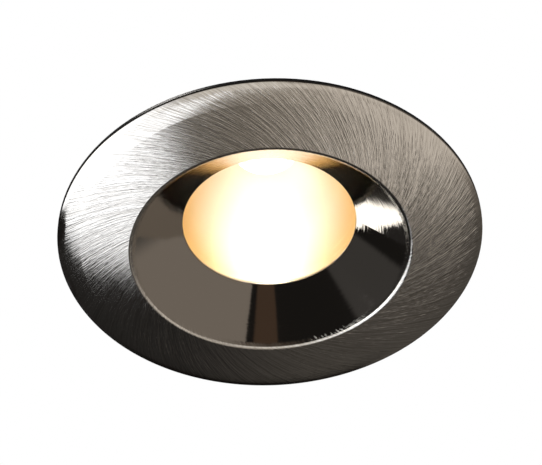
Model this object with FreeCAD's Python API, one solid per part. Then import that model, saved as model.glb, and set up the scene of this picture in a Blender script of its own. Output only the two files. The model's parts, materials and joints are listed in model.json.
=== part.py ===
"""Recessed soffit downlight for outdoors, with its own mains driver.

The light hangs in a round hole in a soffit board and shines down, towards -Z.  The board's
lower face is the plane z = 0, the light's axis is Z, and everything above z = 0 is hidden
above the board.  A turned front ring carries the sealed glass.  A finned casting behind it
carries the emitter and two sprung clip arms, and a box on top holds the driver and the wiring.
All sizes are in millimetres and all angles in degrees.
"""
import FreeCAD, Part
import math
import os

from FreeCAD import Vector

os.makedirs("parts", exist_ok=True)

# ---------------------------------------------------------------- driving dimensions

# Front ring, as seen from below
flange_overhang = 6.6       # the flange covers the hole's edge by this much
cone_run = 9.8              # from the ridge inwards to the aperture
flange_fall = 2.0           # the ridge hangs this much lower than the flange's edge
flange_curl = 4.3           # outer band that bends away towards the board
curl_steeper = 0.0625       # rise per run of this band's chord, above the straight part's
cone_depth = 8.65           # from the ridge up to the aperture
rim_height = 0.75           # straight side wall of the flange's edge
rim_gap = 0.15              # between that wall and the board
rim_width = 1.1             # solid band outside the gasket's recess
rim_rounding = 0.25
ridge_rounding = 0.9
lip_height = 0.5            # straight lip where the cone ends
lip_rounding = 0.2
cone_wall = 1.5

# Hole in the board, and how the light fits it
cutout_radius = 34.0
spigot_clearance = 0.8      # casting to the hole's edge
gasket_thickness = 0.5      # foam, as squeezed
gasket_rim_gap = 0.6        # gasket to the flange's solid band
land_margin = 0.6           # ring's back face reaches this far past the casting

# Glass and its seat
glass_thickness = 2.0
glass_bearing = 3.05        # glass reaches this far past the aperture
seal_floor = 0.5            # seal under the glass
seal_side = 0.45            # seal round the glass
glass_overlap = 0.4         # seal stands back this far from the aperture
seat_gap = 0.1              # glass stack to the ring's pocket
clamp_ring_height = 2.0
clamp_bowl_gap = 0.2        # ring to the bowl it holds down
spanner_notch = 2.2
collar_wall = 2.0
collar_spare = 1.3          # collar above the clamp ring
o_ring_section = 1.4        # diameter of the seal between ring and casting
o_ring_below_top = 4.0      # groove centre below the collar's top

# Reflector and emitter
reflector_height = 19.6
reflector_wider = 1.5         # mouth beyond the aperture, so that no brim is seen
reflector_skirt = 2.6       # straight wall between brim and bowl
reflector_wall = 0.7
reflector_throat = 6.6
reflector_bulge = 3.2       # how far the bowl swells out from a straight cone
reflector_brim = 1.4
holder_radius = 11.2
holder_height = 2.4
holder_screw_circle = 8.9
holder_screw_length = 4.0
board_side = 13.5           # emitter's carrier
board_thickness = 1.0
phosphor_radius = 5.0
phosphor_height = 0.4
pad_thickness = 0.3

# Finned casting
fit_gap = 0.2               # casting over the ring's collar
cup_wall = 2.3
can_wall = 2.0
shelf_height = 9.0          # top of the wide lower can
shelf_thickness = 2.0
base_plate = 5.0            # heat spreader behind the emitter
fin_setback = 0.7           # fins stand this far inside the can
fin_inner_radius = 16.0
fin_thickness = 1.6
fin_height = 9.4            # above the base plate
fin_angles = (0.0, 9.25, 18.5, 27.75, 37.0, 53.0, 62.25)   # each side of the Y axis
ring_screw_count = 4
ring_boss_radius = 2.9
ring_boss_gap = 0.2         # boss to the walls on both sides
ring_screw_depth = 5.0      # below the shelf

# Clips, drawn for the one on the +X side
clip_pad_proud = 0.8        # flat that carries the bracket, outside the cup
clip_pad_sunk = 1.0         # pad runs this far below the shelf's top
clip_half_width = 7.0
clip_plate = 1.0
clip_height = 17.0
pivot_reach = 2.8           # from the bracket's plate out to the pivot
pivot_height = 6.5          # above the shelf
pivot_radius = 1.0
arm_rest_angle = -20.0      # arm against its stop
arm_fold = 114.0            # from the stop to folded along the body
arm_length = 29.0
arm_half_width = 5.0
arm_tip_half_width = 4.0
arm_sheet = 0.8
arm_hub_radius = 2.4
arm_drop = 2.5              # blade's upper face below the pivot
bracket_nose = 2.9          # ears reach this far past the pivot
stop_clearance = 0.28
stop_height = 1.1
spring_wire = 0.9
spring_mean_radius = 2.0
spring_pitch = 1.4
spring_turns = 4
spring_fixed_leg = 4.5
spring_arm_leg = 11.0
foot_length = 7.6
foot_wall = 0.8

# Driver box
box_half_width = 22.3
box_back = -24.0
box_front = 12.0
box_corner = 4.0
box_wall = 2.0
box_floor = 2.0
box_inner_height = 19.0
lid_thickness = 2.2
lid_seal_height = 0.8
lid_seal_width = 1.2
lid_crown = 0.6             # rounding of the lid's upper edge
lid_panel_half = 11.0       # shallow recess in the lid's top
lid_panel_back = 7.0
lid_panel_front = 9.0
lid_panel_depth = 0.5
lid_panel_corner = 2.0
tongue_x = 9.0              # lid's rear tongues, each side of the middle
tongue_width = 5.0
tongue_drop = 3.2           # below the box's rim
tongue_sheet = 1.2
tongue_toe = 0.9            # how far each toe reaches into the wall
lid_post_side = 4.7         # post's centre to the box's side
lid_post_front = 4.0        # post's centre to the box's front
lid_post_radius = 2.8
lid_screw_grip = 5.5
box_screw_side = (6.3, 5.8) # screws' centres to the box's side, rear pair and front pair
box_screw_rear = (6.5, 21.0)    # and to its back
box_screw_grip = 6.0
pillar_radius = 3.2
lead_hole_side = 8.1        # to the box's side
lead_hole_front = 8.8       # to the box's front
lead_hole_radius = 2.2
chimney_radius = 4.0
lead_radius = 0.45
lead_spacing = 1.4
lead_rise = 1.2             # above the holder's face
lead_end_x = -8.9
lead_bend = 1.2
lead_first_reach = 1.4
lead_step = 1.6             # the second lead runs this much further out
lead_crest = 3.6            # above the driver board
grommet_lip = 0.7
grommet_depth = 3.0

# Driver board and what is on it
circuit_thickness = 1.6
circuit_standoff = 3.0
circuit_edge_gap = 1.1      # to the box's side walls
circuit_rear_gap = 0.5      # to its back wall
circuit_length = 21.5
circuit_screw_inset = 2.0
circuit_screw_back = 9.5    # behind the board's front edge
circuit_screw_grip = 3.0
circuit_post_radius = 2.5
terminal_pitch = 5.0
terminal_depth = 10.0
terminal_height = 10.8
button_travel = 1.2

terminal_setback = 0.3      # from the board's front edge
contact_radius = 0.6
contact_reach = 1.2         # below the board
contact_rise = 2.0          # inside the block
button_long = 4.0
button_wide = 3.0
button_back = 7.2           # button's centre behind the block's front
button_rise = 1.6
button_sunk = 1.5
button_slot = 0.8           # screwdriver slot, three times as long
button_slot_depth = 0.5
wire_entry_radius = 1.4
wire_entry_rise = 3.4
wire_entry_depth = 8.0
core_x = 2.0                # transformer's centre
core_back = 5.4             # transformer's centre to the board's rear edge
core_length = 14.0
core_depth = 6.0
core_height = 11.0
core_yoke = 2.2
core_window = 3.2
core_outer_leg = 1.8
winding_gap = 0.1
winding_reach = 4.5         # each side of the core's middle plane
winding_corner = 1.5
bulk_side = 5.0             # centre to the board's side and rear edge
bulk_back = 4.9
bulk_radius = 4.0
bulk_height = 12.5
bulk_crimp = 0.3
film_side = 6.5
film_back = 3.2
film_length = 9.0
film_depth = 5.0
film_height = 9.5
choke_side = 7.9
choke_back = 9.3
choke_radius = 3.2
choke_waist = 2.7
choke_flange = 1.2
choke_height = 8.4
fuse_side = 7.0
fuse_front = 3.2            # centre to the board's front edge
fuse_radius = 2.6
fuse_height = 7.0
bridge_side = 7.5
bridge_front = 8.8
bridge_length = 5.4
bridge_depth = 4.4
bridge_height = 2.6
varistor_side = 7.9
varistor_front = 5.0
varistor_radius = 3.4
varistor_thickness = 2.6

# Cable gland, M16, axis along +Y
gland_height = 9.3          # above the box's inner floor
gland_thread_radius = 8.0
gland_boss_wall = 1.4
gland_boss_depth = 7.0
gland_flats = 19.0
gland_hex_length = 4.4
gland_thread_length = 5.0   # outside the hexagon
gland_washer = 0.6
gland_bore = 4.6
gland_seal_bore = 4.1
gland_seal_radius = 6.3
gland_claw_radius = 7.2
gland_nut_radius = 10.0
gland_nut_length = 15.0
gland_nut_mouth = 5.4
gland_slots = 8
gland_slot_width = 0.8

# Screws: shank radius, head radius, head height
M3 = (1.5, 2.7, 1.9)
M3_BUTTON = (1.5, 2.6, 1.8)
M25 = (1.25, 1.9, 1.3)
thread_gap = 0.05           # drawn between a screw and its tapped hole
clear_gap = 0.2             # round a screw that passes through
running_gap = 0.06          # round a pin that something turns on
loose = 0.1

# ---------------------------------------------------------------- levels and places

flange_radius = cutout_radius + flange_overhang
spigot_radius = cutout_radius - spigot_clearance
land_radius = spigot_radius + land_margin
gasket_inner = land_radius + loose
gasket_outer = flange_radius - rim_width - gasket_rim_gap
can_inner = spigot_radius - can_wall
ring_screw_circle = can_inner - ring_boss_gap - ring_boss_radius
cup_outer = ring_screw_circle - ring_boss_radius - ring_boss_gap
cup_inner = cup_outer - cup_wall
collar_radius = cup_inner - fit_gap
pocket_radius = collar_radius - collar_wall
stack_radius = pocket_radius - seat_gap
glass_radius = stack_radius - seal_side
aperture_radius = glass_radius - glass_bearing
ridge_radius = aperture_radius + cone_run
stack_inner = aperture_radius + glass_overlap
mouth_radius = aperture_radius + reflector_wider
clamp_inner = mouth_radius + reflector_wall + clamp_bowl_gap
fin_outer_radius = spigot_radius - fin_setback
cone_slope = cone_run / cone_depth
cone_offset = cone_wall * math.hypot(1.0, cone_slope)
flange_straight = flange_radius - ridge_radius - flange_curl
flange_gradient = (flange_fall - flange_curl * curl_steeper) / (flange_straight + flange_curl)

z_rim_top = -rim_gap
z_rim = z_rim_top - rim_height
z_ridge = z_rim - flange_fall
z_curl = z_ridge + flange_straight * flange_gradient
z_aperture = z_ridge + cone_depth
z_seat = z_aperture + lip_height
z_glass = z_seat + seal_floor
z_reflector = z_glass + glass_thickness
z_clamp = z_reflector + reflector_wall
z_clamp_top = z_clamp + clamp_ring_height
z_collar_top = z_clamp_top + collar_spare
z_holder = z_reflector + reflector_height
z_plate = z_holder + holder_height
lead_low = z_holder + lead_rise
z_plate_top = z_plate + base_plate
z_box = z_plate_top + fin_height
z_floor = z_box + box_floor
z_box_rim = z_floor + box_inner_height
z_lid = z_box_rim + lid_seal_height
z_lid_top = z_lid + lid_thickness
z_shelf_under = shelf_height - shelf_thickness
z_circuit = z_floor + circuit_standoff
z_parts = z_circuit + circuit_thickness
z_gland = z_floor + gland_height

clip_pad_x = cup_outer + clip_pad_proud
plate_face_x = clip_pad_x + clip_plate
pivot_x = plate_face_x + pivot_reach
bracket_reach = pivot_x + bracket_nose
pivot_z = shelf_height + pivot_height
clip_screw_z = shelf_height + clip_height - 3.5
foot_start = arm_length + foot_wall - foot_length
blade_under = arm_drop + arm_sheet

tongue_y = box_back + box_wall + loose
lid_post_x = box_half_width - lid_post_side
lid_post_y = box_front - lid_post_front
lead_hole_x = lead_hole_side - box_half_width
lead_hole_y = box_front - lead_hole_front
circuit_half_width = box_half_width - box_wall - circuit_edge_gap
circuit_back = box_back + box_wall + circuit_rear_gap
circuit_front = circuit_back + circuit_length
circuit_screw_x = circuit_half_width - circuit_screw_inset
circuit_screw_y = circuit_front - circuit_screw_back
core_y = circuit_back + core_back
bulk_x = circuit_half_width - bulk_side
bulk_y = circuit_back + bulk_back
film_x = film_side - circuit_half_width
film_y = circuit_back + film_back
choke_x = choke_side - circuit_half_width
choke_y = circuit_back + choke_back
fuse_x = circuit_half_width - fuse_side
fuse_y = circuit_front - fuse_front
bridge_x = circuit_half_width - bridge_side
bridge_y = circuit_front - bridge_front
varistor_x = varistor_side - circuit_half_width
varistor_y = circuit_front - varistor_front
terminal_half = 1.5 * terminal_pitch + 0.25
terminal_front = circuit_front - terminal_setback
contact_y = terminal_front - terminal_depth / 2
button_y = terminal_front - button_back
gland_face = box_front + gland_washer
gland_hex_end = gland_face + gland_hex_length
gland_nut_start = gland_hex_end + 0.4
gland_seal_start = gland_hex_end + 1.0
gland_seal_length = 9.0
gland_claw_end = gland_seal_start + gland_seal_length + 0.5

DOWN = Vector(0, 0, -1)
UP = Vector(0, 0, 1)
OUT = Vector(0, 1, 0)
SIDE = Vector(1, 0, 0)


# ---------------------------------------------------------------- building blocks

def turned(profile):
    """Solid of revolution about Z from (radius, height) points; four values are an arc's middle and end."""
    edges = []
    here = Vector(profile[-1][-2], 0, profile[-1][-1])
    for point in profile:
        end = Vector(point[-2], 0, point[-1])
        if len(point) == 4:
            edges.append(Part.Arc(here, Vector(point[0], 0, point[1]), end).toShape())
        else:
            edges.append(Part.makeLine(here, end))
        here = end
    face = Part.Face(Part.Wire(edges))
    return face.revolve(Vector(0, 0, 0), UP, 360)


def tube(inner, outer, bottom, top):
    """Plain ring about Z."""
    return turned([(inner, bottom), (outer, bottom), (outer, top), (inner, top)])


def rod(radius, start, direction, length):
    """Round bar from a point along a direction."""
    return Part.makeCylinder(radius, length, Vector(*start), direction)


def block(x0, x1, y0, y1, z0, z1):
    """Square block between two corners."""
    return Part.makeBox(x1 - x0, y1 - y0, z1 - z0, Vector(x0, y0, z0))


def rounded_block(x0, x1, y0, y1, z0, z1, corner):
    """Block whose four upright edges are rounded."""
    solid = block(x0, x1, y0, y1, z0, z1)
    upright = [e for e in solid.Edges if e.BoundBox.ZLength > 0.5 * (z1 - z0)
               and e.BoundBox.XLength < 1e-6 and e.BoundBox.YLength < 1e-6]
    return solid.makeFillet(corner, upright)


def extruded(outline, normal_length):
    """Solid from a closed outline of points, pushed along a vector."""
    return Part.Face(Part.makePolygon(outline + outline[:1])).extrude(normal_length)


def ring_edges(solid, radius, height):
    """Round edges about Z at this radius and height."""
    found = []
    for edge in solid.Edges:
        curve = edge.Curve
        if isinstance(curve, Part.Circle) and abs(curve.Radius - radius) < 1e-4:
            if abs(curve.Center.z - height) < 1e-4 and math.hypot(curve.Center.x, curve.Center.y) < 1e-4:
                found.append(edge)
    return found


def on_circle(radius, degrees, height):
    """Point at this radius and angle about Z."""
    return Vector(radius * math.cos(math.radians(degrees)), radius * math.sin(math.radians(degrees)), height)


def screw(size, seat, direction, grip):
    """Cross-head screw: its head stands on the seat and its shank runs along the direction."""
    shank_radius, head_radius, head_height = size
    seat = Vector(*seat)
    back = direction.negative()
    head = rod(head_radius, seat, back, head_height)
    crown = [e for e in head.Edges if isinstance(e.Curve, Part.Circle)
             and abs((e.Curve.Center - seat).dot(back) - head_height) < 1e-6]
    head = head.makeFillet(0.35 * head_height, crown)
    slot_depth = 0.5 * head_height
    slot_width = 0.32 * head_radius
    across = SIDE if abs(direction.dot(SIDE)) < 0.5 else OUT
    along = direction.cross(across)
    for first, second in ((across, along), (along, across)):
        corner = seat + back * (head_height - slot_depth)
        corner = corner - first * (0.6 * head_radius) - second * (0.5 * slot_width)
        outline = [corner, corner + first * (1.2 * head_radius),
                   corner + first * (1.2 * head_radius) + second * slot_width, corner + second * slot_width]
        head = head.cut(extruded(outline, back * (slot_depth + loose)))
    return head.fuse(rod(shank_radius, seat, direction, grip)).removeSplitter()


def ring_screw_angles():
    """Angles of the screws that hold the front ring, between the clips and the Y axis."""
    return [45.0 + 360.0 / ring_screw_count * n for n in range(ring_screw_count)]


def box_screw_places():
    """Centres of the four screws under the driver board."""
    return [(side * (box_half_width - inset), box_back + rear)
            for inset, rear in zip(box_screw_side, box_screw_rear) for side in (-1, 1)]


def cone_back(height):
    """Radius of the cone's rear face at this height."""
    return ridge_radius - cone_slope * (height - z_ridge) + cone_offset


def joined(solids):
    """One solid from several that touch or overlap."""
    return solids[0].fuse(solids[1:]).removeSplitter()


# ---------------------------------------------------------------- front ring and glass

def curl_middle():
    """Middle of the arc that ends the flange: half the chord on, and outwards by the arc's height."""
    lean = math.atan(flange_gradient + curl_steeper)
    turn = 2 * (lean - math.atan(flange_gradient))
    height = 0.5 * math.hypot(flange_curl, z_rim - z_curl) * math.tan(turn / 4)
    return (flange_radius - flange_curl / 2 + height * math.sin(lean),
            0.5 * (z_rim + z_curl) - height * math.cos(lean))


def trim_ring():
    """One turned ring: sloping flange, crest, polished cone and the collar that holds the glass."""
    recess = -gasket_thickness
    z_join = z_ridge + (ridge_radius + cone_offset - collar_radius) / cone_slope
    rim_inner = flange_radius - rim_width
    ring = turned([
        (aperture_radius, z_aperture), (ridge_radius, z_ridge), (flange_radius - flange_curl, z_curl),
        (*curl_middle(), flange_radius, z_rim), (flange_radius, z_rim_top), (rim_inner, z_rim_top),
        (rim_inner, recess), (land_radius, recess),
        (land_radius, 0), (cone_back(0), 0), (collar_radius, z_join), (collar_radius, z_collar_top),
        (pocket_radius, z_collar_top), (pocket_radius, z_seat), (aperture_radius, z_seat)])
    for angle in ring_screw_angles():
        ring = ring.fuse(rod(ring_boss_radius, on_circle(ring_screw_circle, angle, 0), UP, z_shelf_under))
    for angle in ring_screw_angles():
        hole = on_circle(ring_screw_circle, angle, screw_bottom() - 0.5)
        ring = ring.cut(rod(M3[0] + thread_gap, hole, UP, z_shelf_under - hole.z + 1))
    groove_centre = z_collar_top - o_ring_below_top
    groove_floor = collar_radius + fit_gap - o_ring_section
    ring = ring.cut(tube(groove_floor, collar_radius + 1, groove_centre - 0.8 * o_ring_section,
                         groove_centre + 0.8 * o_ring_section))
    ring = ring.makeFillet(ridge_rounding, ring_edges(ring, ridge_radius, z_ridge))
    ring = ring.makeFillet(lip_rounding, ring_edges(ring, aperture_radius, z_aperture))
    return ring.makeFillet(rim_rounding, ring_edges(ring, flange_radius, z_rim))


def screw_bottom():
    """Lower end of the screws that hold the front ring."""
    return shelf_height - shelf_thickness - ring_screw_depth


def soffit_gasket():
    """Flat foam ring behind the flange, which seals it to the board."""
    return tube(gasket_inner, gasket_outer, -gasket_thickness, 0)


def lens_seal():
    """Silicone seat with a low wall, so that the glass touches no metal."""
    return turned([(stack_inner, z_seat), (stack_radius, z_seat), (stack_radius, z_reflector),
                   (glass_radius, z_reflector), (glass_radius, z_glass), (stack_inner, z_glass)])


def lens_glass():
    """Clear toughened disc with softened edges."""
    disc = rod(glass_radius, (0, 0, z_glass), UP, glass_thickness)
    return disc.makeChamfer(0.3, [e for e in disc.Edges if isinstance(e.Curve, Part.Circle)])


def lens_clamp_ring():
    """Ring screwed down on the reflector's brim, with two notches for a pin spanner."""
    ring = tube(clamp_inner, stack_radius, z_clamp, z_clamp_top)
    notch = block(-flange_radius, flange_radius, -spanner_notch / 2, spanner_notch / 2,
                  z_clamp_top - clamp_ring_height / 2, z_clamp_top + 1)
    keep = tube(0.5 * (clamp_inner + stack_radius), flange_radius, z_clamp - 1, z_clamp_top + 2)
    return ring.cut(notch.common(keep))


def body_o_ring():
    """Round seal in the collar's groove."""
    section = o_ring_section / 2 - 0.02
    centre = collar_radius + fit_gap - o_ring_section / 2
    return Part.makeTorus(centre, section, Vector(0, 0, z_collar_top - o_ring_below_top), UP)


def reflector():
    """Spun bowl: a brim that lies on the glass, a short straight skirt, and a throat round the emitter."""
    def side(offset, bottom):
        """Skirt and bowl from the brim up to the throat, moved outwards by the offset."""
        foot = Vector(mouth_radius + offset, 0, bottom)
        mouth = Vector(mouth_radius + offset, 0, z_reflector + reflector_skirt)
        throat = Vector(reflector_throat + offset, 0, z_holder)
        chord = throat.sub(mouth)
        normal = Vector(chord.z, 0, -chord.x).normalize()
        middle = (mouth + throat).multiply(0.5) + normal * reflector_bulge
        return [Part.makeLine(foot, mouth), Part.Arc(mouth, middle, throat).toShape()]

    brim = mouth_radius + reflector_brim
    brim_top = z_reflector + reflector_wall
    inner = side(0, z_reflector)
    outer = side(reflector_wall, brim_top)
    corners = [Vector(mouth_radius, 0, z_reflector), Vector(brim, 0, z_reflector), Vector(brim, 0, brim_top),
               Vector(mouth_radius + reflector_wall, 0, brim_top)]
    lip = [Part.makeLine(start, end) for start, end in zip(corners, corners[1:])]
    rim = Part.makeLine(Vector(reflector_throat, 0, z_holder),
                        Vector(reflector_throat + reflector_wall, 0, z_holder))
    face = Part.Face(Part.Wire(Part.__sortEdges__(inner + lip + outer + [rim])))
    return face.revolve(Vector(0, 0, 0), UP, 360)


def trim_screws():
    """Screws from above that pull the front ring against the casting."""
    grip = shelf_height - screw_bottom()
    return Part.makeCompound([screw(M3, on_circle(ring_screw_circle, a, shelf_height), DOWN, grip)
                              for a in ring_screw_angles()])


# ---------------------------------------------------------------- emitter

def led_phosphor():
    """Yellow disc that glows."""
    return rod(phosphor_radius, (0, 0, z_plate - pad_thickness - board_thickness), DOWN, phosphor_height)


def led_board():
    """Square ceramic carrier of the emitter."""
    half = board_side / 2
    top = z_plate - pad_thickness
    return block(-half, half, -half, half, top - board_thickness, top)


def thermal_pad():
    """Soft pad between the carrier and the casting."""
    half = board_side / 2
    return block(-half, half, -half, half, z_plate - pad_thickness, z_plate)


def led_holder():
    """White moulded clamp: a window for the light, two screws and two holes for the leads."""
    half = board_side / 2 + loose
    board_face = z_plate - pad_thickness - board_thickness
    body = rod(holder_radius, (0, 0, z_holder), UP, holder_height)
    body = body.cut(block(-half, half, -half, half, board_face, z_plate + 1))
    window = turned([(0, z_holder - loose), (reflector_throat, z_holder - loose),
                     (reflector_throat - 0.8, board_face + loose), (0, board_face + loose)])
    body = body.cut(window)
    for side in (-1, 1):
        centre = (0, side * holder_screw_circle, z_holder - 1)
        body = body.cut(rod(M25[0] + clear_gap / 2, centre, UP, holder_height + 2))
        body = body.cut(rod(M25[1] + loose, centre, UP, 1 + M25[2] + loose))
    for lead_y in lead_rows():
        body = body.cut(rod(lead_radius + thread_gap, (-holder_radius - 1, lead_y, lead_low), SIDE,
                            holder_radius + 1 + lead_end_x))
    return body


def led_holder_screws():
    """Two sunk screws through the holder into the casting."""
    seat = z_holder + M25[2] + loose
    return Part.makeCompound([screw(M25, (0, side * holder_screw_circle, seat), UP, holder_screw_length)
                              for side in (-1, 1)])


def lead_rows():
    """Y of the two leads where they pass through the casting."""
    return (lead_hole_y - lead_spacing / 2, lead_hole_y + lead_spacing / 2)


def bent_wire(points, bends, radius):
    """Round wire along straight runs joined by tangent arcs."""
    edges = []
    start = points[0]
    for before, corner, after, bend in zip(points, points[1:], points[2:], bends):
        into = (corner - before).normalize()
        out = (after - corner).normalize()
        turn = into.getAngle(out)
        cut_back = bend * math.tan(turn / 2)
        first = corner - into * cut_back
        last = corner + out * cut_back
        bisector = (out - into).normalize()
        middle = corner + bisector * (bend / math.cos(turn / 2) - bend)
        edges.append(Part.makeLine(start, first))
        edges.append(Part.Arc(first, middle, last).toShape())
        start = last
    edges.append(Part.makeLine(start, points[-1]))
    path = Part.Wire(edges)
    heading = (points[1] - points[0]).normalize()
    profile = Part.Wire(Part.makeCircle(radius, points[0], heading))
    return path.makePipeShell([profile], True, False)


def led_lead(row):
    """Insulated lead from the driver board down through the casting to the holder."""
    y = lead_rows()[row]
    reach = lead_first_reach + lead_step * row
    crest = z_parts + lead_crest + lead_step * row
    span = y + reach
    top_bend = 0.48 * min(span, crest - z_parts)
    points = [Vector(lead_hole_x, -reach, z_parts), Vector(lead_hole_x, -reach, crest),
              Vector(lead_hole_x, y, crest), Vector(lead_hole_x, y, lead_low),
              Vector(lead_end_x - 0.1, y, lead_low)]
    return bent_wire(points, [top_bend, top_bend, lead_bend], lead_radius)


def lead_grommet():
    """Rubber bush that seals the leads where they enter the box."""
    bore = lead_spacing / 2 + lead_radius + 0.3
    top = z_floor + grommet_lip
    return turned([(bore, z_box - grommet_depth), (lead_hole_radius - thread_gap, z_box - grommet_depth),
                   (lead_hole_radius - thread_gap, z_floor), (lead_hole_radius + grommet_lip, z_floor),
                   (lead_hole_radius + grommet_lip, top), (bore, top)]
                  ).translated(Vector(lead_hole_x, lead_hole_y, 0))


# ---------------------------------------------------------------- finned casting

def heat_sink():
    """Die casting: wide lower can, cup over the reflector, heat spreader, fins, pillars and clip pads."""
    cup_bottom = cup_clearance()
    body = turned([
        (spigot_radius, 0), (spigot_radius, shelf_height), (cup_outer, shelf_height),
        (cup_outer, z_plate_top), (0, z_plate_top), (0, z_plate), (cup_inner, z_plate),
        (cup_inner, cup_bottom), (cup_outer, cup_bottom), (cup_outer, z_shelf_under),
        (can_inner, z_shelf_under), (can_inner, 0)])
    pieces = [body]
    for axis in (90.0, 270.0):
        for angle in sorted({sign * a for a in fin_angles for sign in (-1, 1)}):
            pieces.append(fin(axis + angle))
    for x, y in box_screw_places():
        pieces.append(rod(pillar_radius, (x, y, z_plate_top - 1), UP, fin_height + 1))
    pieces.append(rod(chimney_radius, (lead_hole_x, lead_hole_y, z_plate_top - 1), UP, fin_height + 1))
    for side in (-1, 1):
        inner = side * (cup_inner + cup_wall / 2)
        outer = side * clip_pad_x
        pieces.append(block(min(inner, outer), max(inner, outer), -clip_half_width, clip_half_width,
                            shelf_height - clip_pad_sunk, shelf_height + clip_height))
    body = joined(pieces)
    for x, y in box_screw_places():
        body = body.cut(rod(M3[0] + thread_gap, (x, y, z_box - box_screw_grip - 1), UP, box_screw_grip + 2))
    body = body.cut(rod(lead_hole_radius, (lead_hole_x, lead_hole_y, z_plate - 1), UP,
                        base_plate + fin_height + 2))
    for angle in ring_screw_angles():
        body = body.cut(rod(M3[0] + clear_gap, on_circle(ring_screw_circle, angle, z_shelf_under - 1), UP,
                            shelf_thickness + 2))
    for side in (-1, 1):
        body = body.cut(rod(M25[0] + thread_gap, (0, side * holder_screw_circle, z_plate - 1), UP,
                            holder_screw_length + 0.2))
        hole_depth = clip_pad_x - clip_hole_end()
        body = body.cut(rod(M3_BUTTON[0] + thread_gap, (side * (clip_pad_x + 1), 0, clip_screw_z),
                            Vector(-side, 0, 0), hole_depth + 1))
    return body


def cup_clearance():
    """Lower end of the cup's wall, clear of the cone's rear face."""
    return z_ridge + (ridge_radius + cone_offset - cup_inner) / cone_slope + 1.2


def clip_hole_end():
    """Blind end of the clip screw's hole, which leaves the cup's wall closed."""
    return cup_inner + 0.6


def fin(angle):
    """One cooling fin: along the cup's side, and across the heat spreader's top."""
    buried = cup_outer - 0.5 * cup_wall
    outline = [Vector(buried, 0, shelf_height - 0.5), Vector(fin_outer_radius, 0, shelf_height - 0.5),
               Vector(fin_outer_radius, 0, z_box), Vector(fin_inner_radius, 0, z_box),
               Vector(fin_inner_radius, 0, z_plate_top - 1), Vector(buried, 0, z_plate_top - 1)]
    outline = [p + Vector(0, -fin_thickness / 2, 0) for p in outline]
    plate = extruded(outline, Vector(0, fin_thickness, 0))
    return plate.rotate(Vector(0, 0, 0), UP, angle)


# ---------------------------------------------------------------- clips

def mirrored(solid):
    """The same piece on the -X side."""
    return solid.mirror(Vector(0, 0, 0), SIDE)


def at_pivot(solid, angle):
    """Takes a piece drawn about the pivot, along +X, to its place at this angle."""
    solid = solid.rotated(Vector(0, 0, 0), Vector(0, -1, 0), angle)
    return solid.translated(Vector(pivot_x, 0, pivot_z))


def clip_bracket():
    """Folded sheet bracket: plate, two ears and a stop bar under the arm."""
    half = clip_half_width
    top = shelf_height + clip_height
    plate = block(clip_pad_x, plate_face_x, -half, half, shelf_height, top)
    stop_top = arm_under(bracket_reach) - stop_clearance
    stop_bottom = stop_top - stop_height
    ear_outline = [Vector(clip_pad_x, -half, stop_bottom), Vector(bracket_reach, -half, stop_bottom),
                   Vector(bracket_reach, -half, stop_top), Vector(pivot_x + 2.0, -half, pivot_z + 2.4),
                   Vector(plate_face_x + 1.0, -half, pivot_z + 4.4), Vector(clip_pad_x, -half, pivot_z + 4.4)]
    ear = extruded(ear_outline, Vector(0, clip_plate, 0))
    stop = block(bracket_reach - 1.0, bracket_reach, -half, half, stop_bottom, stop_top)
    far_ear = ear.translated(Vector(0, 2 * half - clip_plate, 0))
    body = joined([plate, ear, far_ear, stop])
    body = body.cut(rod(pivot_radius + 0.03, (pivot_x, -half - 1, pivot_z), OUT, 2 * half + 2))
    return body.cut(rod(M3_BUTTON[0] + clear_gap, (clip_pad_x - 1, 0, clip_screw_z), SIDE, clip_plate + 2))


def arm_under(x):
    """Height of the resting arm's underside at this distance from the axis."""
    slope = math.tan(math.radians(arm_rest_angle))
    return pivot_z + (x - pivot_x) * slope - blade_under / math.cos(math.radians(arm_rest_angle))


def clip_pin():
    """Rivet that the arm turns on."""
    half = clip_half_width
    shank = rod(pivot_radius, (pivot_x, -half - 0.5, pivot_z), OUT, 2 * half + 1)
    head = rod(1.7 * pivot_radius, (pivot_x, half, pivot_z), OUT, 0.7)
    tail = rod(1.4 * pivot_radius, (pivot_x, -half - 0.6, pivot_z), OUT, 0.6)
    return joined([shank, head, tail])


def arm_blade():
    """Flat tapering blade of the arm, drawn along +X below the pivot."""
    start = 1.0
    taper_start = 10.0
    under = -blade_under
    outline = [Vector(start, -arm_half_width, under), Vector(taper_start, -arm_half_width, under),
               Vector(arm_length, -arm_tip_half_width, under), Vector(arm_length, arm_tip_half_width, under),
               Vector(taper_start, arm_half_width, under), Vector(start, arm_half_width, under)]
    blade = extruded(outline, Vector(0, 0, arm_sheet))
    tips = [e for e in blade.Edges
            if e.BoundBox.ZLength > 0.5 * arm_sheet and e.BoundBox.XMin > arm_length - 0.1]
    return blade.makeFillet(0.6 * arm_tip_half_width, tips)


def clip_arm():
    """Pressed steel arm: blade and two side flanges with the pivot holes."""
    ear_inner = arm_half_width - arm_sheet
    pieces = [arm_blade()]
    for side in (-1, 1):
        low = min(side * ear_inner, side * arm_half_width)
        hub = rod(arm_hub_radius, (0, low, 0), OUT, arm_sheet)
        outline = [Vector(0, low, arm_hub_radius), Vector(4.0, low, 1.2), Vector(9.0, low, -arm_drop),
                   Vector(9.0, low, -blade_under), Vector(1.0, low, -blade_under), Vector(-0.6, low, -2.0)]
        pieces += [hub, extruded(outline, Vector(0, arm_sheet, 0))]
    arm = joined(pieces)
    arm = arm.cut(rod(pivot_radius + running_gap, (0, -clip_half_width, 0), OUT, 2 * clip_half_width))
    return at_pivot(arm, arm_rest_angle)


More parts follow.
